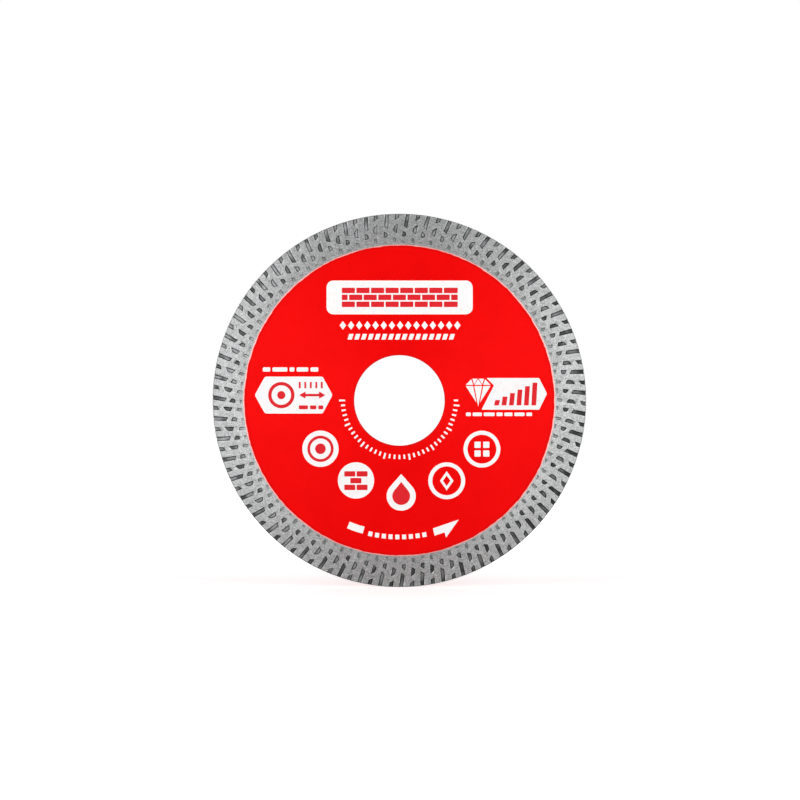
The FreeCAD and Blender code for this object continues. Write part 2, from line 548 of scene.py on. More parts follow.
    def depths(self, graph: Graph, polar: Polar) -> tuple[Socket, Socket]:
        """Shares of a point that lie on a pocket's floor and on a pocket's wall.

        Args:
            graph: the tree to add to.
            polar: where the point lies.

        Returns:
            The floor's share and the wall's share, both nothing on the lands and the edge.
        """
        inside = graph.add("Math", (polar.radius, self.edge_radius), operation="LESS_THAN")
        sunk = (polar.height, self.floor_height + 0.05, self.floor_height + 0.02)
        sunk = graph.add("MapRange", sunk, **SMOOTH)
        steep = graph.add("Math", (1.0, polar.facing(graph)), operation="SUBTRACT")
        return (
            graph.add("Math", (inside, sunk), operation="MULTIPLY"),
            graph.add("Math", (inside, steep), operation="MULTIPLY"),
        )


@dataclass(frozen=True)
class RedLacquer(Finish):
    """Glossy red lacquer, sprayed thin over ground steel.

    The grinding marks show through as a faint sheen around the disc, and a painted highlight
    draws a pale line along the film's rim.
    """

    name: str = "red_lacquer_on_ground_steel"
    red: str = "#e90606"
    deep: str = "#de0404"
    edge: str = "#cc0808"
    # The pale pink of the painted highlight along the film's rim.
    edge_highlight: str = "#d99a96"
    outer_radius: float = 43.85
    inner_radius: float = 12.85

    def surface(self, graph: Graph, polar: Polar) -> Socket:
        """Draw the lacquer film.

        Args:
            graph: the material's tree.
            polar: where the point lies on the disc.

        Returns:
            The socket of its shader.
        """
        where = polar.place
        clouds = graph.add("TexNoise", {"Vector": where, "Scale": 0.12, "Detail": 2.0})
        # The marks under the film, really 0.05 mm apart, are drawn 0.25 mm apart so that they show.
        turning = polar.drawn(graph, 4.0, 30.0)
        marks = graph.add("TexNoise", {"Vector": turning, "Scale": 1.0, "Detail": 2.0})
        # Sprayed lacquer dries with a skin of bumps about a millimetre apart.
        peel = graph.add("TexNoise", {"Vector": where, "Scale": 0.9, "Detail": 2.0})
        tone_shift = graph.add("Math", (marks, 0.2), operation="MULTIPLY")
        tone_shift = graph.add("Math", (clouds, 0.35, tone_shift), operation="MULTIPLY_ADD")
        tone_shift = graph.add("MapRange", (tone_shift, 0.1, 0.55), **SMOOTH)
        ragged = graph.add("TexNoise", {"Vector": where, "Scale": 0.5, "Detail": 2.0})
        ragged = graph.add("Math", (ragged, 0.5, -0.25), operation="MULTIPLY_ADD")
        reach = graph.add("Math", (polar.radius, ragged), operation="ADD")
        outer, inner = self.outer_radius, self.inner_radius
        rim = graph.add("MapRange", (reach, outer - 1.1, outer - 0.6), **SMOOTH)
        # Painted highlight: a pale, partly metallic line just inside the film's rim, where the step
        # up to the rim catches the light.
        line = graph.add("MapRange", (reach, outer - 0.32, outer - 0.2), **SMOOTH)
        bore = graph.add("MapRange", (polar.radius, inner + 0.4, inner), **SMOOTH)
        edges = graph.add("Math", (rim, bore), operation="MAXIMUM")
        colour = graph.layered(
            self.deep, (tone_shift, 1.0, self.red), (edges, 0.8, self.edge), (line, 1.0, self.edge_highlight)
        )
        relief = graph.add("Math", (marks, 0.25, peel), operation="MULTIPLY_ADD")
        return graph.add(
            "BsdfPrincipled",
            {
                "Base Color": colour,
                "Metallic": graph.add("Math", (line, 0.7, 0.12), operation="MULTIPLY_ADD"),
                "Roughness": graph.add("Math", (peel, 0.12, 0.3), operation="MULTIPLY_ADD"),
                "Specular IOR Level": 0.03, "Anisotropic": 0.6, "Tangent": polar.outward,
                "Normal": graph.add(
                    "Bump", {"Height": relief, "Strength": 0.12, "Distance": 0.00003}
                ),
            },
        )


@dataclass(frozen=True)
class ScreenInk(Finish):
    """Opaque screen-printing ink, with the weave of the screen and small thin spots in it."""

    ink: str
    thin: str

    def surface(self, graph: Graph, polar: Polar) -> Socket:
        """Draw one ink.

        Args:
            graph: the material's tree.
            polar: where the point lies on the disc.

        Returns:
            The socket of its shader.
        """
        where = polar.place
        blotches = graph.add("TexNoise", {"Vector": where, "Scale": 0.8, "Detail": 3.0})
        # A screen of 77 threads a centimetre is drawn a little coarser, at five in a millimetre.
        weave = graph.add("TexNoise", {"Vector": where, "Scale": 5.0, "Detail": 1.0})
        thin = graph.add("MapRange", (blotches, 0.56, 0.8), **SMOOTH)
        relief = graph.add("Math", (weave, 0.5, blotches), operation="MULTIPLY_ADD")
        return graph.add(
            "BsdfPrincipled",
            {
                "Base Color": graph.layered(self.ink, (thin, 0.5, self.thin)),
                "Roughness": graph.add("Math", (weave, 0.15, 0.42), operation="MULTIPLY_ADD"),
                "Specular IOR Level": 0.15,
                "Normal": graph.add(
                    "Bump", {"Height": relief, "Strength": 0.15, "Distance": 0.00002}
                ),
            },
        )


@dataclass(frozen=True)
class TurnedSteel(Finish):
    """Bare steel of the core as it shows in the arbor hole, with marks from boring.

    A thin mist of the red lacquer lies on its flat faces, where the film stops short of the hole.
    """

    name: str = "bored_steel"
    steel: str = "#a9aaac"
    stain: str = "#75726e"
    mist: str = "#c40a0a"

    def surface(self, graph: Graph, polar: Polar) -> Socket:
        """Draw the bare core.

        Args:
            graph: the material's tree.
            polar: where the point lies on the disc.

        Returns:
            The socket of its shader.
        """
        clouds = graph.add("TexNoise", {"Vector": polar.place, "Scale": 0.6, "Detail": 3.0})
        stained = graph.add("MapRange", (clouds, 0.45, 0.75), **SMOOTH)
        # The boring tool's feed leaves a mark about every 0.07 mm of the core's thickness.
        level = graph.add("Math", (polar.height, 14.0), operation="MULTIPLY")
        lines = graph.add("CombineXYZ", {"Y": level})
        lines = graph.add("VectorMath", (lines, polar.outward), operation="ADD")
        marks = graph.add("TexNoise", {"Vector": lines, "Scale": 1.0, "Detail": 3.0})
        misted = polar.facing(graph)
        colour = graph.layered(self.steel, (stained, 0.5, self.stain))
        colour = graph.toned(colour, (marks, 0.5, 0.75))
        return graph.add(
            "BsdfPrincipled",
            {
                "Base Color": graph.layered(colour, (misted, 1.0, self.mist)),
                "Metallic": graph.add("Math", (misted, -0.85, 1.0), operation="MULTIPLY_ADD"),
                "Roughness": graph.add("Math", (clouds, 0.2, 0.28), operation="MULTIPLY_ADD"),
                "Normal": graph.add(
                    "Bump", {"Height": marks, "Strength": 0.3, "Distance": 0.00003}
                ),
            },
        )


@dataclass(frozen=True)
class PaleBoard(Finish):
    """Matt white board under the disc, which keeps the soft shadow and fades out to white.

    It glows a little where it is seen, so that its lit part is as white as what lies behind it.
    Distances are in millimetres from the middle of the floor.
    """

    name: str = "matt_white_board"
    board: str = "#f0f0f0"
    near_lift: float = 0.58
    far_lift: float = 0.95
    near: float = 50.0
    far: float = 400.0
    camera_share: float = 0.6

    def surface(self, graph: Graph, polar: Polar) -> Socket:
        """Draw the floor, white where it is seen and plain where it only lights.

        Args:
            graph: the material's tree.
            polar: where the point lies on the disc.

        Returns:
            The socket of its shader.
        """
        # The fibres of the board mottle it at about a millimetre.
        fibre = graph.add("TexNoise", {"Vector": polar.place, "Scale": 0.9, "Detail": 2.0})
        colour = graph.toned(linear(self.board)[:3], (fibre, 0.04, 0.98))
        distance = graph.add("VectorMath", (polar.place,), "Value", operation="LENGTH")
        far = graph.add("MapRange", (distance, self.near, self.far), **SMOOTH)
        lift = (far, self.far_lift - self.near_lift, self.near_lift)
        lift = graph.add("Math", lift, operation="MULTIPLY_ADD")
        camera = graph.add("LightPath", output="Is Camera Ray")
        camera = graph.add("Math", (camera, self.camera_share), operation="MULTIPLY")
        seen = (graph.seen_directly(), 1 - self.camera_share, camera)
        seen = graph.add("Math", seen, operation="MULTIPLY_ADD")
        glow = {"Strength": graph.add("Math", (seen, lift), operation="MULTIPLY")}
        board = graph.add("BsdfDiffuse", {"Color": colour})
        return graph.add("AddShader", (board, graph.add("Emission", glow)))


# ---------------------------------------------------------------------------------------------
# The diamond rim


class Column(Enum):
    """The kinds of pocket column around the rim, a quarter of the pattern's pitch apart."""

    SLOT = 0
    PLAIN = 1
    NOTCH = 2


class Row(IntEnum):
    """Rows of the rim's pattern, from its edge to its keys; the ends of pockets lie on 2 to 6."""

    EDGE = 0
    CHAMFER = 1
    FIRST_END = 2
    INNER_EDGE = 7
    KEY_TIP = 8
    KEY_ROOT = 9


@dataclass(frozen=True)
class RimSizes:
    """Sizes of the rim and its mesh pattern, in millimetres and degrees."""

    radius: float
    half_thickness: float
    repeats: int = 55
    turn: float = 2.66
    lean: float = 8.0
    rib_slope: float = 30.0
    half_width: float = 0.55
    floor: float = 0.55
    draft: float = 0.2
    tail_inset: float = 0.25
    chamfer: float = 0.15
    mouth: float = 0.05
    land: float = 6.1
    width: float = 8.6
    flush: float = 0.7
    core_edge: float = 43.2
    key_root: float = 41.8
    key_turn: float = 4.0
    key_tip_half: float = 1.1
    key_foot_half: float = 0.877
    slot_ends: tuple[float, ...] = (3.8, 5.05, 6.5, 7.7, 8.4)
    slot_slopes: tuple[int, ...] = (1, 1, 0, 0, 0)
    notch_ends: tuple[float, ...] = (1.55, 3.22, 5.32, 6.72, 8.3)
    notch_slopes: tuple[int, ...] = (-1, -1, 1, 1, 0)

    @property
    def pitch(self) -> float:
        """Degrees from one slot to the next on the same face."""
        return 360 / self.repeats


class RimTile:
    """One pitch of one face of the rim, from its surface down to the middle plane.

    Lines run inwards along the sides of the pocket columns, and rows run around the disc through
    the ends of the pockets. A tile has nine lines and ten rows.
    """

    LINES = 8
    ROWS = 9
    POCKET_LINES = (2, 6)
    POCKET_ROWS = (Row.EDGE, Row.CHAMFER, 3, 5)
    TAIL_ENDS = ((6, 3), (6, 4))
    KINDS = (Column.SLOT, Column.PLAIN, Column.NOTCH, Column.PLAIN)
    STEEP = 0.55
    FLAT = 0.6
    SEAT_MARGIN = 0.1
    CORNERS = (
        (((2, 2), (3, 2), (6, 2), (7, 2), (2, 5), (3, 5), (2, 6), (3, 6), (6, 6), (7, 6)), 0.18),
        (((2, 3), (6, 4), (7, 3), (7, 4), (7, 5)), 0.12),
        (((2, 4), (3, 3), (6, 5)), 0.25),
        (((6, 3),), 0.45),
        (((3, 4),), 0.34),
    )

    def __init__(self, sizes: RimSizes, side: Side) -> None:
        """Prepare a tile.

        Args:
            sizes: the rim's sizes.
            side: the face of the disc that it is for.
        """
        self.sizes = sizes
        self.side = side
        self.key_line = 6 if side is Side.FRONT else 4
        self.stagger = 0.0 if side is Side.FRONT else sizes.pitch / 4

    def column_of(self, line: int) -> tuple[int, Column]:
        """The number of the column that a line borders, and its kind."""
        number = line // 2 - 1
        return number, self.KINDS[number % 4]

    def on_circle(self, line: int, radius: float, inset: float = 0.0) -> Point:
        """Where a line crosses a circle about the disc's centre.

        Args:
            line: the line's number, from the left.
            radius: the circle's radius.
            inset: how far inside the column the line is moved.

        Returns:
            The point in millimetres.
        """
        number, _ = self.column_of(line)
        lean = math.tan(math.radians(self.sizes.lean))
        side = 1 if line % 2 else -1
        offset = (self.sizes.half_width - inset) * side - self.sizes.radius * lean
        square = 1 + lean**2
        root = math.sqrt((lean * offset) ** 2 - square * (offset**2 - radius**2))
        y = (root - lean * offset) / square
        turn = self.sizes.turn + number * self.sizes.pitch / 4
        return turned((offset + y * lean, y), turn)

    def at_depth(self, line: int, end: int, inset: float = 0.0) -> Point:
        """The corner of a pocket's end on a line, or the point between two columns' ends.

        Args:
            line: the line's number, from the left.
            end: the number of the pocket's end, from the edge.
            inset: how far inside the pocket the corner is moved.

        Returns:
            The point in millimetres.
        """
        sizes = self.sizes
        number, column = self.column_of(line)
        side = (sizes.half_width - inset) * (1 if line % 2 else -1)
        if (line, end) in self.TAIL_ENDS:
            side += sizes.tail_inset
        if column is Column.SLOT:
            depth, slope = sizes.slot_ends[end], sizes.slot_slopes[end]
        elif column is Column.NOTCH:
            depth, slope = sizes.notch_ends[end], sizes.notch_slopes[end]
        else:
            depth, slope = (sizes.slot_ends[end] + sizes.notch_ends[end]) / 2, 0
        depth += inset if end % 2 else -inset
        y = sizes.radius - depth - slope * side * math.tan(math.radians(sizes.rib_slope))
        x = side + (y - sizes.radius) * math.tan(math.radians(sizes.lean))
        return turned((x, y), sizes.turn + number * sizes.pitch / 4)

    def around_keys(self, line: int, radius: float, half: float) -> Point:
        """A point of the inner rows, which are spaced evenly from each key seat to the next.

        Args:
            line: the line's number, from the left.
            radius: how far the row is from the disc's centre.
            half: half the width of the key seat there.

        Returns:
            The point in millimetres.
        """
        sizes = self.sizes
        half_angle = math.degrees(math.asin(half / radius))
        step = (sizes.pitch - 2 * half_angle) / (self.LINES - 1)
        start = sizes.key_turn + half_angle - sizes.pitch
        places = (line - self.key_line - 1) % self.LINES
        wraps = (line - self.key_line - 1) // self.LINES + 1
        angle = start + places * step + wraps * sizes.pitch
        return turned((0.0, radius), angle - self.stagger)

    def corner(self, line: int, row: int, on_floor: bool = False) -> Point:
        """Where a line and a row of the tile cross, in the flat frame.

        Args:
            line: the line's number, from the left.
            row: the row's number, from the edge.
            on_floor: whether the point is on a pocket's floor, inside the pocket's mouth.

        Returns:
            The point in millimetres.
        """
        sizes = self.sizes
        borders = self.column_of(line)[1] is not Column.PLAIN
        inset = sizes.draft if on_floor and borders else 0.0
        if row == Row.EDGE:
            return self.on_circle(line, sizes.radius, inset)
        if row == Row.CHAMFER:
            return self.on_circle(line, sizes.radius - sizes.chamfer, inset)
        if row < Row.INNER_EDGE:
            return self.at_depth(line, row - Row.FIRST_END, inset)
        if row == Row.INNER_EDGE:
            return self.on_circle(line, sizes.radius - sizes.width)
        if row == Row.KEY_TIP:
            tip = math.hypot(sizes.core_edge, sizes.key_tip_half)
            return self.around_keys(line, tip, sizes.key_tip_half)
        return self.around_keys(line, sizes.key_root, sizes.key_foot_half)

    def surface(self, radius: float) -> float:
        """Height of the unbroken surface above the middle plane.

        Args:
            radius: how far the point is from the disc's centre.

        Returns:
            The height in millimetres.
        """
        sizes = self.sizes
        steps = (
            (sizes.radius - sizes.width, sizes.flush),
            (sizes.radius - sizes.land, sizes.half_thickness),
            (sizes.radius - sizes.chamfer, sizes.half_thickness),
            (sizes.radius, sizes.half_thickness - sizes.chamfer),
        )
        if radius <= steps[0][0]:
            return steps[0][1]
        for (start, low), (end, high) in zip(steps, steps[1:]):
            if radius <= end:
                return low + (high - low) * (radius - start) / (end - start)
        return steps[-1][1]

    def is_pocket(self, line: int, row: int) -> bool:
        """Whether the cell between a line and the next, and a row and the next, is sunk."""
        return line in self.POCKET_LINES and row in self.POCKET_ROWS

    def make(self) -> bpy.types.Object:
        """Model the tile.

        Returns:
            The tile as an open sheet, in millimetres, at its own place on its side.
        """
        tile = self.make_grid()
        self.raise_lands(tile)
        self.lay_out(tile)
        for corners, radius in self.CORNERS:
            self.round_corners(tile, corners, radius)
        self.soften_mouths(tile)
        if self.side is Side.BACK:
            turn = Matrix.Rotation(-math.radians(self.stagger), 4, "Z")
            tile.data.transform(turn @ Matrix.Scale(-1, 4, (0, 0, 1)))
        return tile

    def make_grid(self) -> bpy.types.Object:
        """Add the grid of lines and rows, and number its vertices.

        Returns:
            The grid, two units square.
        """
        bpy.ops.object.select_all(action="DESELECT")
        bpy.ops.mesh.primitive_grid_add(
            x_subdivisions=self.LINES, y_subdivisions=self.ROWS, size=2, location=(0, 0, 0)
        )
        tile = bpy.context.object
        line = tile.data.attributes.new("line", "INT", "POINT")
        row = tile.data.attributes.new("row", "INT", "POINT")
        for vertex in tile.data.vertices:
            line.data[vertex.index].value = round((vertex.co.x + 1) * self.LINES / 2)
            row.data[vertex.index].value = round((1 - vertex.co.y) * self.ROWS / 2)
        return tile

    def raise_lands(self, tile: bpy.types.Object) -> None:
        """Open the key seat, raise the lands above the floors and drop the edges to the middle.

        Args:
            tile: the grid.
        """

        def cell(face: bmesh.types.BMFace) -> tuple[int, int]:
            """The line and the row that a face lies behind.

            Args:
                face: a face of the grid.

            Returns:
                Their numbers.
            """
            centre = face.calc_center_median()
            return (
                math.floor((centre.x + 1) * self.LINES / 2),
                math.floor((1 - centre.y) * self.ROWS / 2),
            )

        def on_side(vertex: bmesh.types.BMVert) -> bool:
            """Whether a vertex lies on a side that meets the next tile."""
            return abs(abs(vertex.co.x) - 1) < TOUCHING

        def is_foot(edge: bmesh.types.BMEdge) -> bool:
            """Whether an edge borders the floors on the rim's edge or on the core's.

            Args:
                edge: an edge of the grid.

            Returns:
                Whether it is dropped to the middle.
            """
            return (
                edge.is_boundary
                and all(abs(v.co.z) < TOUCHING for v in edge.verts)
                and not all(on_side(v) for v in edge.verts)
            )

        with editing(tile):
            select(tile, "faces", lambda face: cell(face) == (self.key_line, Row.KEY_TIP))
            bpy.ops.mesh.delete(type="FACE")
            select(tile, "faces", lambda face: not self.is_pocket(*cell(face)))
            bpy.ops.mesh.extrude_region_move(TRANSFORM_OT_translate={"value": (0, 0, 1)})
            select(tile, "faces", lambda face: all(on_side(v) for v in face.verts))
            bpy.ops.mesh.delete(type="FACE")
            bpy.ops.mesh.select_mode(type="EDGE")
            select(tile, "edges", is_foot)
            bpy.ops.mesh.extrude_region_move(TRANSFORM_OT_translate={"value": (0, 0, -1)})

    def lay_out(self, tile: bpy.types.Object) -> None:
        """Move every vertex from the square grid to its place on the rim.

        Args:
            tile: the grid, with its lands raised.
        """
        line = tile.data.attributes["line"].data
        row = tile.data.attributes["row"].data
        for vertex in tile.data.vertices:
            level = round(vertex.co.z)
            spot = line[vertex.index].value, row[vertex.index].value
            x, y = self.corner(*spot, on_floor=level == 0)
            height = (0.0, self.sizes.floor, self.surface(math.hypot(x, y)))[level + 1]
            vertex.co = (x, y, height)

    def round_corners(
        self, tile: bpy.types.Object, corners: Sequence[tuple[int, int]], radius: float
    ) -> None:
        """Round upright edges of the pockets.

        Args:
            tile: the tile's object.
            corners: the line and row of each upright edge.
            radius: the radius of the rounding.
        """
        mouths = [Vector(self.corner(*corner)) for corner in corners]
        floors = [Vector(self.corner(*corner, on_floor=True)) for corner in corners]

        def is_corner(edge: bmesh.types.BMEdge) -> bool:
            """Whether an edge is one of the upright edges.

            Args:
                edge: an edge of the tile.

            Returns:
                Whether it is rounded.
            """
            foot, head = sorted((vertex.co for vertex in edge.verts), key=lambda spot: spot.z)
            return any(
                (head.xy - mouth).length < TOUCHING and (foot.xy - floor).length < TOUCHING
                for mouth, floor in zip(mouths, floors)
            ) and foot.z > self.sizes.floor - SLACK

        with editing(tile, "EDGE"):
            select(tile, "edges", is_corner)
            bpy.ops.mesh.bevel(offset=radius, segments=3, affect="EDGES", clamp_overlap=True)

    def soften_mouths(self, tile: bpy.types.Object) -> None:
        """Break the sharp edges where the pockets meet the lands.

        Args:
            tile: the tile's object, with its corners rounded.
        """
        sizes = self.sizes

        def is_mouth(edge: bmesh.types.BMEdge) -> bool:
            """Whether a land meets a pocket's wall along an edge.

            Args:
                edge: an edge of the tile.

            Returns:
                Whether it is broken.
            """
            lowest = min(v.co.z for v in edge.verts)
            if len(edge.link_faces) != 2 or lowest < sizes.floor + sizes.mouth:
                return False
            inner, outer = sorted(v.co.xy.length for v in edge.verts)
            if inner > sizes.radius - SLACK or outer < sizes.core_edge + self.SEAT_MARGIN:
                return False
            steep, flat = sorted(abs(face.normal.z) for face in edge.link_faces)
            return steep < self.STEEP and flat > self.FLAT

        with editing(tile, "EDGE"):
            bpy.ops.mesh.select_all(action="SELECT")
            bpy.ops.mesh.normals_make_consistent(inside=False)
            select(tile, "edges", is_mouth)
            bpy.ops.mesh.bevel(
                offset=sizes.mouth, segments=1, affect="EDGES", clamp_overlap=True
            )


@dataclass
class DiamondRim:
    """The sintered rim with its mesh of pockets, modelled as one tile a side and repeated.

    Each repeat's pockets stray a little. Nothing within the foot margin of the core moves, nor
    anything past the side margin of a pocket, and the open pockets keep their reach at the edge.
    """

    sizes: RimSizes
    stray: float = 0.13
    foot_margin: float = 0.8
    side_margin: float = 0.1
    open_reach: float = 1.0
    finish: SinteredRim = field(default_factory=SinteredRim)

    def wander(self, pitch: bpy.types.Object, chance: random.Random) -> None:
        """Shift the pocket columns of one pitch a little, as the pressing left them.

        Args:
            pitch: both tiles of one pitch, at the first place on the rim.
            chance: where the shifts come from.
        """
        sizes = self.sizes
        slant = math.tan(math.radians(sizes.lean))
        shifts = {
            (is_front, column): (chance.uniform(-1, 1), chance.uniform(-1, 1))
            for is_front in (True, False) for column in (Column.SLOT, Column.NOTCH)
        }
        for vertex in pitch.data.vertices:
            x, y, height = vertex.co
            radius = math.hypot(x, y)
            if radius < sizes.core_edge + self.foot_margin or abs(height) < sizes.floor - SLACK:
                continue
            turn = sizes.turn - (0.0 if height > 0 else sizes.pitch / 4)
            turn += math.degrees((radius - sizes.radius) * slant / radius)
            for column in (Column.SLOT, Column.NOTCH):
                middle = turn + column.value * sizes.pitch / 4
                offset = math.radians(math.degrees(math.atan2(x, y)) - middle) * radius
                if abs(offset) > sizes.half_width + self.side_margin:
                    continue
                around, along = shifts[height > 0, column]
                is_open = radius > sizes.radius - self.open_reach
                grown = 1.0 if is_open else 1 + self.stray * along / radius
                swung = turned((x * grown, y * grown), math.degrees(self.stray * around / radius))
                vertex.co = (*swung, height)

    def build(self) -> None:
        """Model the rim, dress it and put it in place of its plain solid."""
        pitch = joined([RimTile(self.sizes, side).make() for side in Side], "diamond_rim_mesh")
        chance = random.Random(self.sizes.repeats)
        pitches = [pitch]
        for index in range(1, self.sizes.repeats):
            twin = copy_of(pitch, Matrix())
            self.wander(twin, chance)
            twin.data.transform(Matrix.Rotation(-math.radians(self.sizes.pitch) * index, 4, "Z"))
            pitches.append(twin)
        rim = joined(pitches, "diamond_rim_mesh")
        with editing(rim, "VERT"):
            bpy.ops.mesh.select_all(action="SELECT")
            bpy.ops.mesh.remove_doubles(threshold=0.001)
            bpy.ops.mesh.normals_make_consistent(inside=False)
        bpy.ops.object.shade_smooth_by_angle(angle=math.radians(40))
        stand_up(rim)
        dress(rim, self.finish.make())
        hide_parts("diamond_rim")
        place(rim)


# ---------------------------------------------------------------------------------------------
# The printed faces


def circle_points(centre: Point, radius: float, count: int = 48) -> list[Point]:
    """Points around a circle, anticlockwise from its right."""
    angles = [2 * math.pi * index / count for index in range(count)]
    return [(centre[0] + radius * math.cos(a), centre[1] + radius * math.sin(a)) for a in angles]


def arc_band(radius: float, width: float, start: float, end: float, steps: int) -> list[Point]:
    """Outline of a band along an arc about the disc's centre.

    Args:
        radius: the radius of the band's middle.
        width: the width of the band.
        start: where it starts, in degrees clockwise from the top.
        end: where it ends.
        steps: how many straight parts each side has.

    Returns:
        The outline's corners.
    """
    turns = [start + (end - start) * index / steps for index in range(steps + 1)]
    outer = [turned((0.0, radius + width / 2), turn) for turn in turns]
    inner = [turned((0.0, radius - width / 2), turn) for turn in reversed(turns)]
    return outer + inner


def block(left: float, bottom: float, right: float, top: float, slant: float = 0.0) -> list[Point]:
    """Outline of a rectangle whose top may be slanted to the right."""
    return [(left, bottom), (right, bottom), (right + slant, top), (left + slant, top)]


@dataclass
class InkSheet:
    """All the marks of one ink on one face, each a thin raised plate."""

    name: str
    side: Side
    level: float
    thickness: float
    marks: list[bpy.types.Object] = field(default_factory=list)

    def plate(
        self, outline: Sequence[Point], rounding: float = 0.0, hollow: float = 0.0
    ) -> bpy.types.Object:
        """Print one closed outline.

        Args:
            outline: its corners, in order.
            rounding: how far from each corner its rounding starts.
            hollow: the width of the line that is left when its inside is bare, or nothing.

        Returns:
            The mark.
        """
        bpy.ops.object.select_all(action="DESELECT")
        bpy.ops.mesh.primitive_circle_add(vertices=len(outline), fill_type="NGON")
        mark = bpy.context.object
        for vertex, (x, y) in zip(mark.data.vertices, outline):
            vertex.co = (x, y, self.level)
        with editing(mark):
            bpy.ops.mesh.select_all(action="SELECT")
            if rounding:
                bpy.ops.mesh.bevel(offset=rounding, segments=4, affect="VERTICES")
            if hollow:
                bpy.ops.mesh.select_all(action="SELECT")
                bpy.ops.mesh.inset(thickness=hollow)
                bpy.ops.mesh.delete(type="FACE")
            bpy.ops.mesh.select_all(action="SELECT")
            raised = {"value": (0, 0, self.thickness)}
            bpy.ops.mesh.extrude_region_move(TRANSFORM_OT_translate=raised)
            bpy.ops.mesh.select_all(action="SELECT")
            bpy.ops.mesh.normals_make_consistent(inside=False)
        self.marks.append(mark)
        return mark

    def repeat(self, mark: bpy.types.Object, count: int, right: float, up: float = 0.0) -> None:
        """Print a mark again, each time one step further on.

        Args:
            mark: the mark.
            count: how many more of it there are.
            right: the step to the right.
            up: the step up.
        """
        for step in range(1, count + 1):
            self.marks.append(copy_of(mark, Matrix.Translation((right * step, up * step, 0))))

    def row(self, words: Sequence[float], start: float, level: float, height: float) -> None:
        """Print a line of bars of the given lengths with even gaps.

        Args:
            words: the lengths of the bars.
            start: where the first bar starts.
            level: the height of the line's foot on the face.
            height: the height of the bars, which is also twice their gap.
        """
        for length in words:
            self.plate(block(start, level, start + length, level + height), height / 4)
            start += length + height / 2

    def finish(self, ink: ScreenInk) -> None:
        """Join the marks, stand them up on their face and dress them.

        Args:
            ink: what they are printed in.
        """
        sheet = joined(self.marks, self.name)
        stand_up(sheet, self.side)
        dress(sheet, ink.make())
        place(sheet)


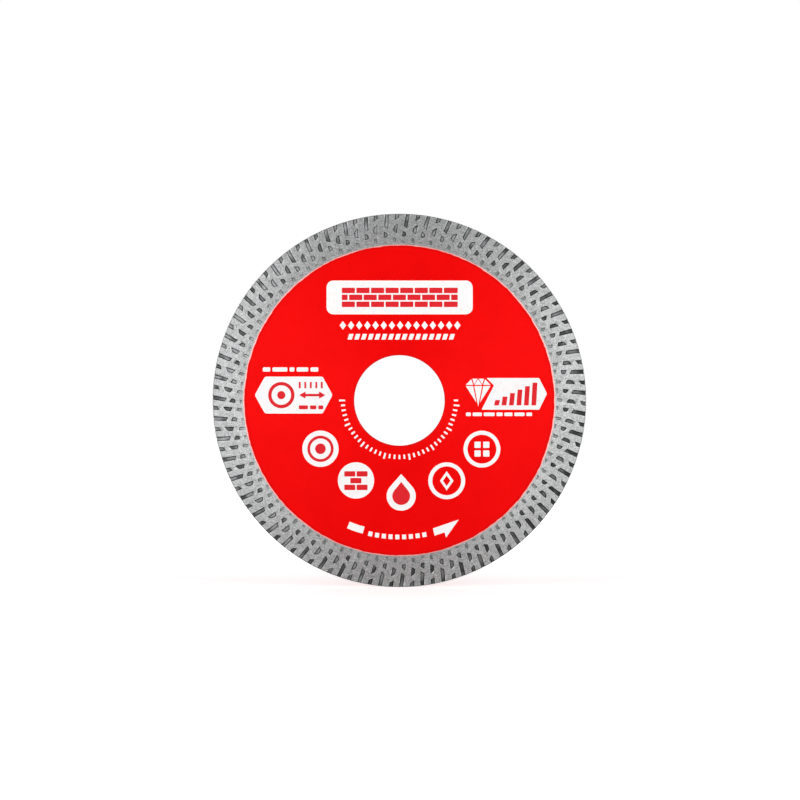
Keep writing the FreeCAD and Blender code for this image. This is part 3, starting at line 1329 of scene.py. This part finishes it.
@dataclass
class FacePrint:
    """The plain marks printed on one face, in white ink with red ink over it.

    The white ink is bedded in the lacquer's surface, and the red ink in the white.
    """

    side: Side
    level: float
    bedding: float = 0.004
    white_film: float = 0.022
    red_level: float = 0.012
    red_film: float = 0.016
    white: InkSheet = field(init=False)
    red: InkSheet = field(init=False)

    def __post_init__(self) -> None:
        """Lay out a sheet for each ink."""
        name, foot = self.side.name.lower(), self.level - self.bedding
        self.white = InkSheet(f"{name}_white_print", self.side, foot, self.white_film)
        foot = self.level + self.red_level
        self.red = InkSheet(f"{name}_red_print", self.side, foot, self.red_film)

    def brick_panel(self) -> None:
        """A white panel with three courses of red bricks in running bond."""
        self.white.plate(block(-20.5, 24.2, 20.6, 33.7), 1.9)
        start, stop, foot = -16.2, 16.4, 26.25
        length, height, joint, round_off = 3.7, 1.55, 0.4, 0.2
        for course in range(3):
            left = start + (course % 2) * (length + joint) / 2
            bottom = foot + course * (height + joint)
            top = bottom + height
            brick = self.red.plate(block(left, bottom, left + length, top), round_off)
            self.red.repeat(brick, 6, length + joint)
            if course % 2:
                self.red.plate(block(start, bottom, left - joint, top), round_off)
            self.red.plate(block(left + 7 * (length + joint), bottom, stop, top), round_off)

    def lozenge_rows(self) -> None:
        """A row of upright lozenges above a row of small slanted dashes."""
        tall = self.white.plate([(-15.9, 19.9), (-15.0, 21.1), (-15.9, 22.3), (-16.8, 21.1)])
        self.white.repeat(tall, 14, 2.3)
        dash = self.white.plate(block(-14.6, 17.1, -13.4, 18.7, 0.5), 0.1)
        self.white.repeat(dash, 15, 1.9)

    def size_badge(self) -> None:
        """A white hexagon with a red wheel and a dimension line across it."""
        left, right, level = -37.8, -21.6, 1.5
        badge = [(left, -3.7), (right, -3.7), (-18.8, level), (right, 6.7), (left, 6.7)]
        self.white.plate([*badge, (-40.7, level)], 0.5)
        hub = (-33.2, level)
        self.red.plate(circle_points(hub, 3.7), hollow=0.95)
        self.red.plate(circle_points(hub, 1.15, 24))
        self.red.plate(block(-26.6, 1.15, -22.4, 1.85))
        self.red.plate([(-28.2, level), (-26.4, 0.5), (-26.4, 2.5)])
        self.red.plate([(-20.8, level), (-22.6, 2.5), (-22.6, 0.5)])
        tick = self.red.plate(block(-28.3, 3.4, -27.75, 5.2))
        self.red.repeat(tick, 4, 1.55)
        self.red.row((2.6, 1.8, 1.4), -28.3, -2.5, 1.1)
        self.white.row((2.1, 4.2, 1.4, 3.3, 2.2), -38.4, 8.1, 1.2)

    def gem(self) -> None:
        """A white cut stone, with its facets parted by thin red lines."""
        girdle, crown, tip, gap, middle = 4.2, 6.1, -1.7, 0.17, 22.15
        feet, peaks = (18.5, 20.9, 23.4, 25.8), (20.2, middle, 24.1)
        deeps = ((middle - 3 * gap, tip + 1.1), (middle, tip), (middle + 3 * gap, tip + 1.1))
        for left, right, peak, deep in zip(feet, feet[1:], peaks, deeps):
            left, right = left + gap, right - gap
            self.white.plate([(left, girdle + gap), (right, girdle + gap), (peak, crown - gap)])
            self.white.plate([(left, girdle - gap), deep, (right, girdle - gap)])
        for foot, left, right in (
            (feet[1] + gap / 2, peaks[0] + 2 * gap, middle - gap),
            (feet[2] - gap / 2, middle + gap, peaks[2] - 2 * gap),
        ):
            self.white.plate([(left, crown), (foot, girdle + 2 * gap), (right, crown)])

    def grade_panel(self) -> None:
        """A white panel with a flight of red bars, over a fine line of dashes."""
        panel = [(23.1, -2.6), (39.3, -2.6), (41.5, 1.9), (39.3, 6.3), (24.5, 6.3), (26.6, 4.2)]
        self.white.plate(panel, 0.25)
        for index in range(6):
            left = 26.6 + index * 2.1
            self.red.plate(block(left, -1.4, left + 1.35, 0.1 + index * 0.98, 0.35), 0.15)
        self.white.row((1.4, 2.6, 3.1, 1.7, 2.3, 2.9, 1.6), 18.7, -4.4, 1.0)

    def bore_ticks(self) -> None:
        """A half circle of fine ticks under the arbor hole, every fifth one longer."""
        for step in range(37):
            longer = 0.45 if step % 5 == 1 else 0.0
            radius, turn = 15.9 + longer / 2, 90.0 + step * 5
            self.white.plate(arc_band(radius, 1.2 + longer, turn - 0.9, turn + 0.9, 1))

    def five_marks(self) -> None:
        """Two discs, a drop and two rings around the lower half, each with a plain figure."""
        target, wall, drop, lens, window = (
            (-22.2, -13.6), (-12.2, -22.5), (0.5, -26.9), (13.3, -22.6), (23.2, -13.7)
        )
        for centre in (target, wall):
            self.white.plate(circle_points(centre, 5.1, 64))
        self.red.plate(circle_points(target, 3.7, 56), hollow=0.8)
        self.red.plate(circle_points(target, 1.5, 32))
        for row, lefts in enumerate(((-15.5, -12.05), (-13.8,), (-15.5, -12.05))):
            bottom = -25.2 + row * 1.9
            for left in lefts:
                self.red.plate(block(left, bottom, left + 3.1, bottom + 1.5), 0.2)
        self.white.plate(self.drop_outline(drop, 4.1, 6.2))
        self.red.plate(self.drop_outline(drop, 2.5, 4.0))
        for centre in (lens, window):
            self.white.plate(circle_points(centre, 5.18, 64), hollow=1.12)
        x, y = lens
        self.white.plate([(x, y - 2.7), (x + 1.9, y), (x, y + 2.7), (x - 1.9, y)], hollow=0.7)
        x, y = window
        pane = self.white.plate(block(x + 0.35, y + 0.35, x + 2.1, y + 2.1), 0.2)
        for right, up in ((-2.45, 0), (0, -2.45), (-2.45, -2.45)):
            self.white.repeat(pane, 1, right, up)

    @staticmethod
    def drop_outline(centre: Point, radius: float, rise: float) -> list[Point]:
        """Outline of a water drop: a circle drawn up to a point above its centre.

        Args:
            centre: the circle's centre.
            radius: the circle's radius.
            rise: how far the point is above the centre.

        Returns:
            The outline's corners.
        """
        half = math.acos(radius / rise)
        angles = [math.pi / 2 + half + (2 * math.pi - 2 * half) * n / 40 for n in range(41)]
        circle = [
            (centre[0] + radius * math.cos(a), centre[1] + radius * math.sin(a)) for a in angles
        ]
        return circle + [(centre[0], centre[1] + rise)]

    def turn_arrow(self) -> None:
        """The arrow for the direction of rotation: a tail bar, fine ticks and an arrow head."""
        self.white.plate(arc_band(37.85, 2.0, 195.4, 202.3, 6))
        for step in range(9):
            start = 168.6 + step * 2.85
            self.white.plate(arc_band(38.4, 1.3, start, start + 1.75, 2))
        self.white.plate([(9.4, -36.0), (9.9, -38.0), (12.7, -37.1), (13.1, -38.6), (16.7, -33.5)])

    def build(self) -> None:
        """Print the face."""
        self.brick_panel()
        self.lozenge_rows()
        self.bore_ticks()
        self.turn_arrow()
        if self.side is Side.FRONT:
            self.size_badge()
            self.gem()
            self.grade_panel()
            self.five_marks()
        side = self.side.name.lower()
        self.white.finish(ScreenInk(f"white_screen_ink_{side}", "#eeeded", "#e8cfcd"))
        self.red.finish(ScreenInk(f"red_screen_ink_{side}", "#d41420", "#b81018"))


@dataclass
class CoatedCore:
    """The steel core and its two lacquer films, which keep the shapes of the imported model."""

    nodes: dict[str, bpy.types.Object]

    def build(self) -> None:
        """Dress the core and the films."""
        dress(self.nodes["steel_core"], TurnedSteel().make())
        lacquer = RedLacquer().make()
        for name in ("front_coating", "back_coating"):
            dress(self.nodes[name], lacquer)
            LOG.info("%s: dressed", name)


# ---------------------------------------------------------------------------------------------
# The studio


@dataclass
class Studio:
    """A white board, two tall soft lamps before the disc and two behind it, and a long lens."""

    floor_level: float
    floor_size: float = 8.0
    lens: float = 200.0
    clip_reach: float = 20.0
    view_width: float = 0.22508
    aim: tuple[float, float] = (0.000166, 0.000118)
    lamp_distance: float = 1.0
    lamp_angle: float = 27.0
    lamp_width: float = 0.4
    lamp_height: float = 1.12
    lamp_power: float = 9.7
    back_power: float = 6.0
    ambient: float = 0.16

    def build(self) -> None:
        """Set up the floor, the lamps, the world and the camera."""
        self.add_floor()
        for side in (-1, 1):
            self.add_lamp(f"front_lamp_{side + 2}", side, -1, self.lamp_power)
            self.add_lamp(f"back_lamp_{side + 2}", side, 1, self.back_power)
        self.light_world()
        self.add_camera()
        bpy.context.scene.view_settings.view_transform = "Standard"

    def add_floor(self) -> None:
        """Lay the board that the disc stands on."""
        bpy.ops.object.select_all(action="DESELECT")
        bpy.ops.mesh.primitive_plane_add(size=self.floor_size, location=(0, 0, 0))
        floor = bpy.context.object
        floor.name = "floor_board"
        floor.data.transform(Matrix.Translation((0, 0, self.floor_level)))
        dress(floor, PaleBoard().make())

    def add_lamp(self, name: str, side: int, depth: int, power: float) -> None:
        """Hang a tall lamp that is aimed at the disc.

        Args:
            name: the lamp's name.
            side: -1 for the left and 1 for the right.
            depth: -1 for before the disc and 1 for behind it.
            power: its power in watts.
        """
        data = bpy.data.lights.new(name, "AREA")
        data.shape = "RECTANGLE"
        data.size = self.lamp_width
        data.size_y = self.lamp_height
        data.energy = power
        lamp = bpy.data.objects.new(data.name, data)
        angle = math.radians(self.lamp_angle)
        spot = Vector((side * math.sin(angle), depth * math.cos(angle), 0.0)) * self.lamp_distance
        lamp.location = spot
        lamp.rotation_euler = (-spot).to_track_quat("-Z", "Y").to_euler()
        lamp.visible_camera = False
        bpy.context.scene.collection.objects.link(lamp)

    def light_world(self) -> None:
        """White all round where it is seen, and plain soft light for the rest."""
        world = bpy.data.worlds.new("white_studio")
        bpy.context.scene.world = world
        graph = Graph(world)
        strength = graph.add(
            "MapRange",
            {"Value": graph.seen_directly(), "To Min": self.ambient, "To Max": 1.0},
        )
        sky = graph.add("Background", {"Color": linear("#ffffff"), "Strength": strength})
        graph.add("OutputWorld", {"Surface": sky})
        world.cycles.sampling_method = "NONE"

    def add_camera(self) -> None:
        """Look straight at the printed face through the long lens."""
        data = bpy.data.cameras.new("long_lens")
        data.lens = self.lens
        distance = self.view_width * self.lens / data.sensor_width
        data.clip_start = distance / self.clip_reach
        data.clip_end = distance * self.clip_reach
        camera = bpy.data.objects.new("long_lens", data)
        camera.location = (self.aim[0], -distance, self.aim[1])
        camera.rotation_euler = (math.pi / 2, 0, 0)
        bpy.context.scene.collection.objects.link(camera)
        bpy.context.scene.camera = camera


def main() -> None:
    """Build the disc and its studio."""
    logging.basicConfig(level=logging.INFO, format="%(message)s")
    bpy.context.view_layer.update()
    low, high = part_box("diamond_rim")
    sizes = RimSizes(radius=high.x / MILLIMETRE, half_thickness=high.y / MILLIMETRE)
    CoatedCore(frame["nodes"]).build()
    DiamondRim(sizes).build()
    film_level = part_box("back_coating")[1].y / MILLIMETRE
    for side in Side:
        FacePrint(side, film_level).build()
    Studio(floor_level=low.z).build()


if __name__ == "__main__":
    main()
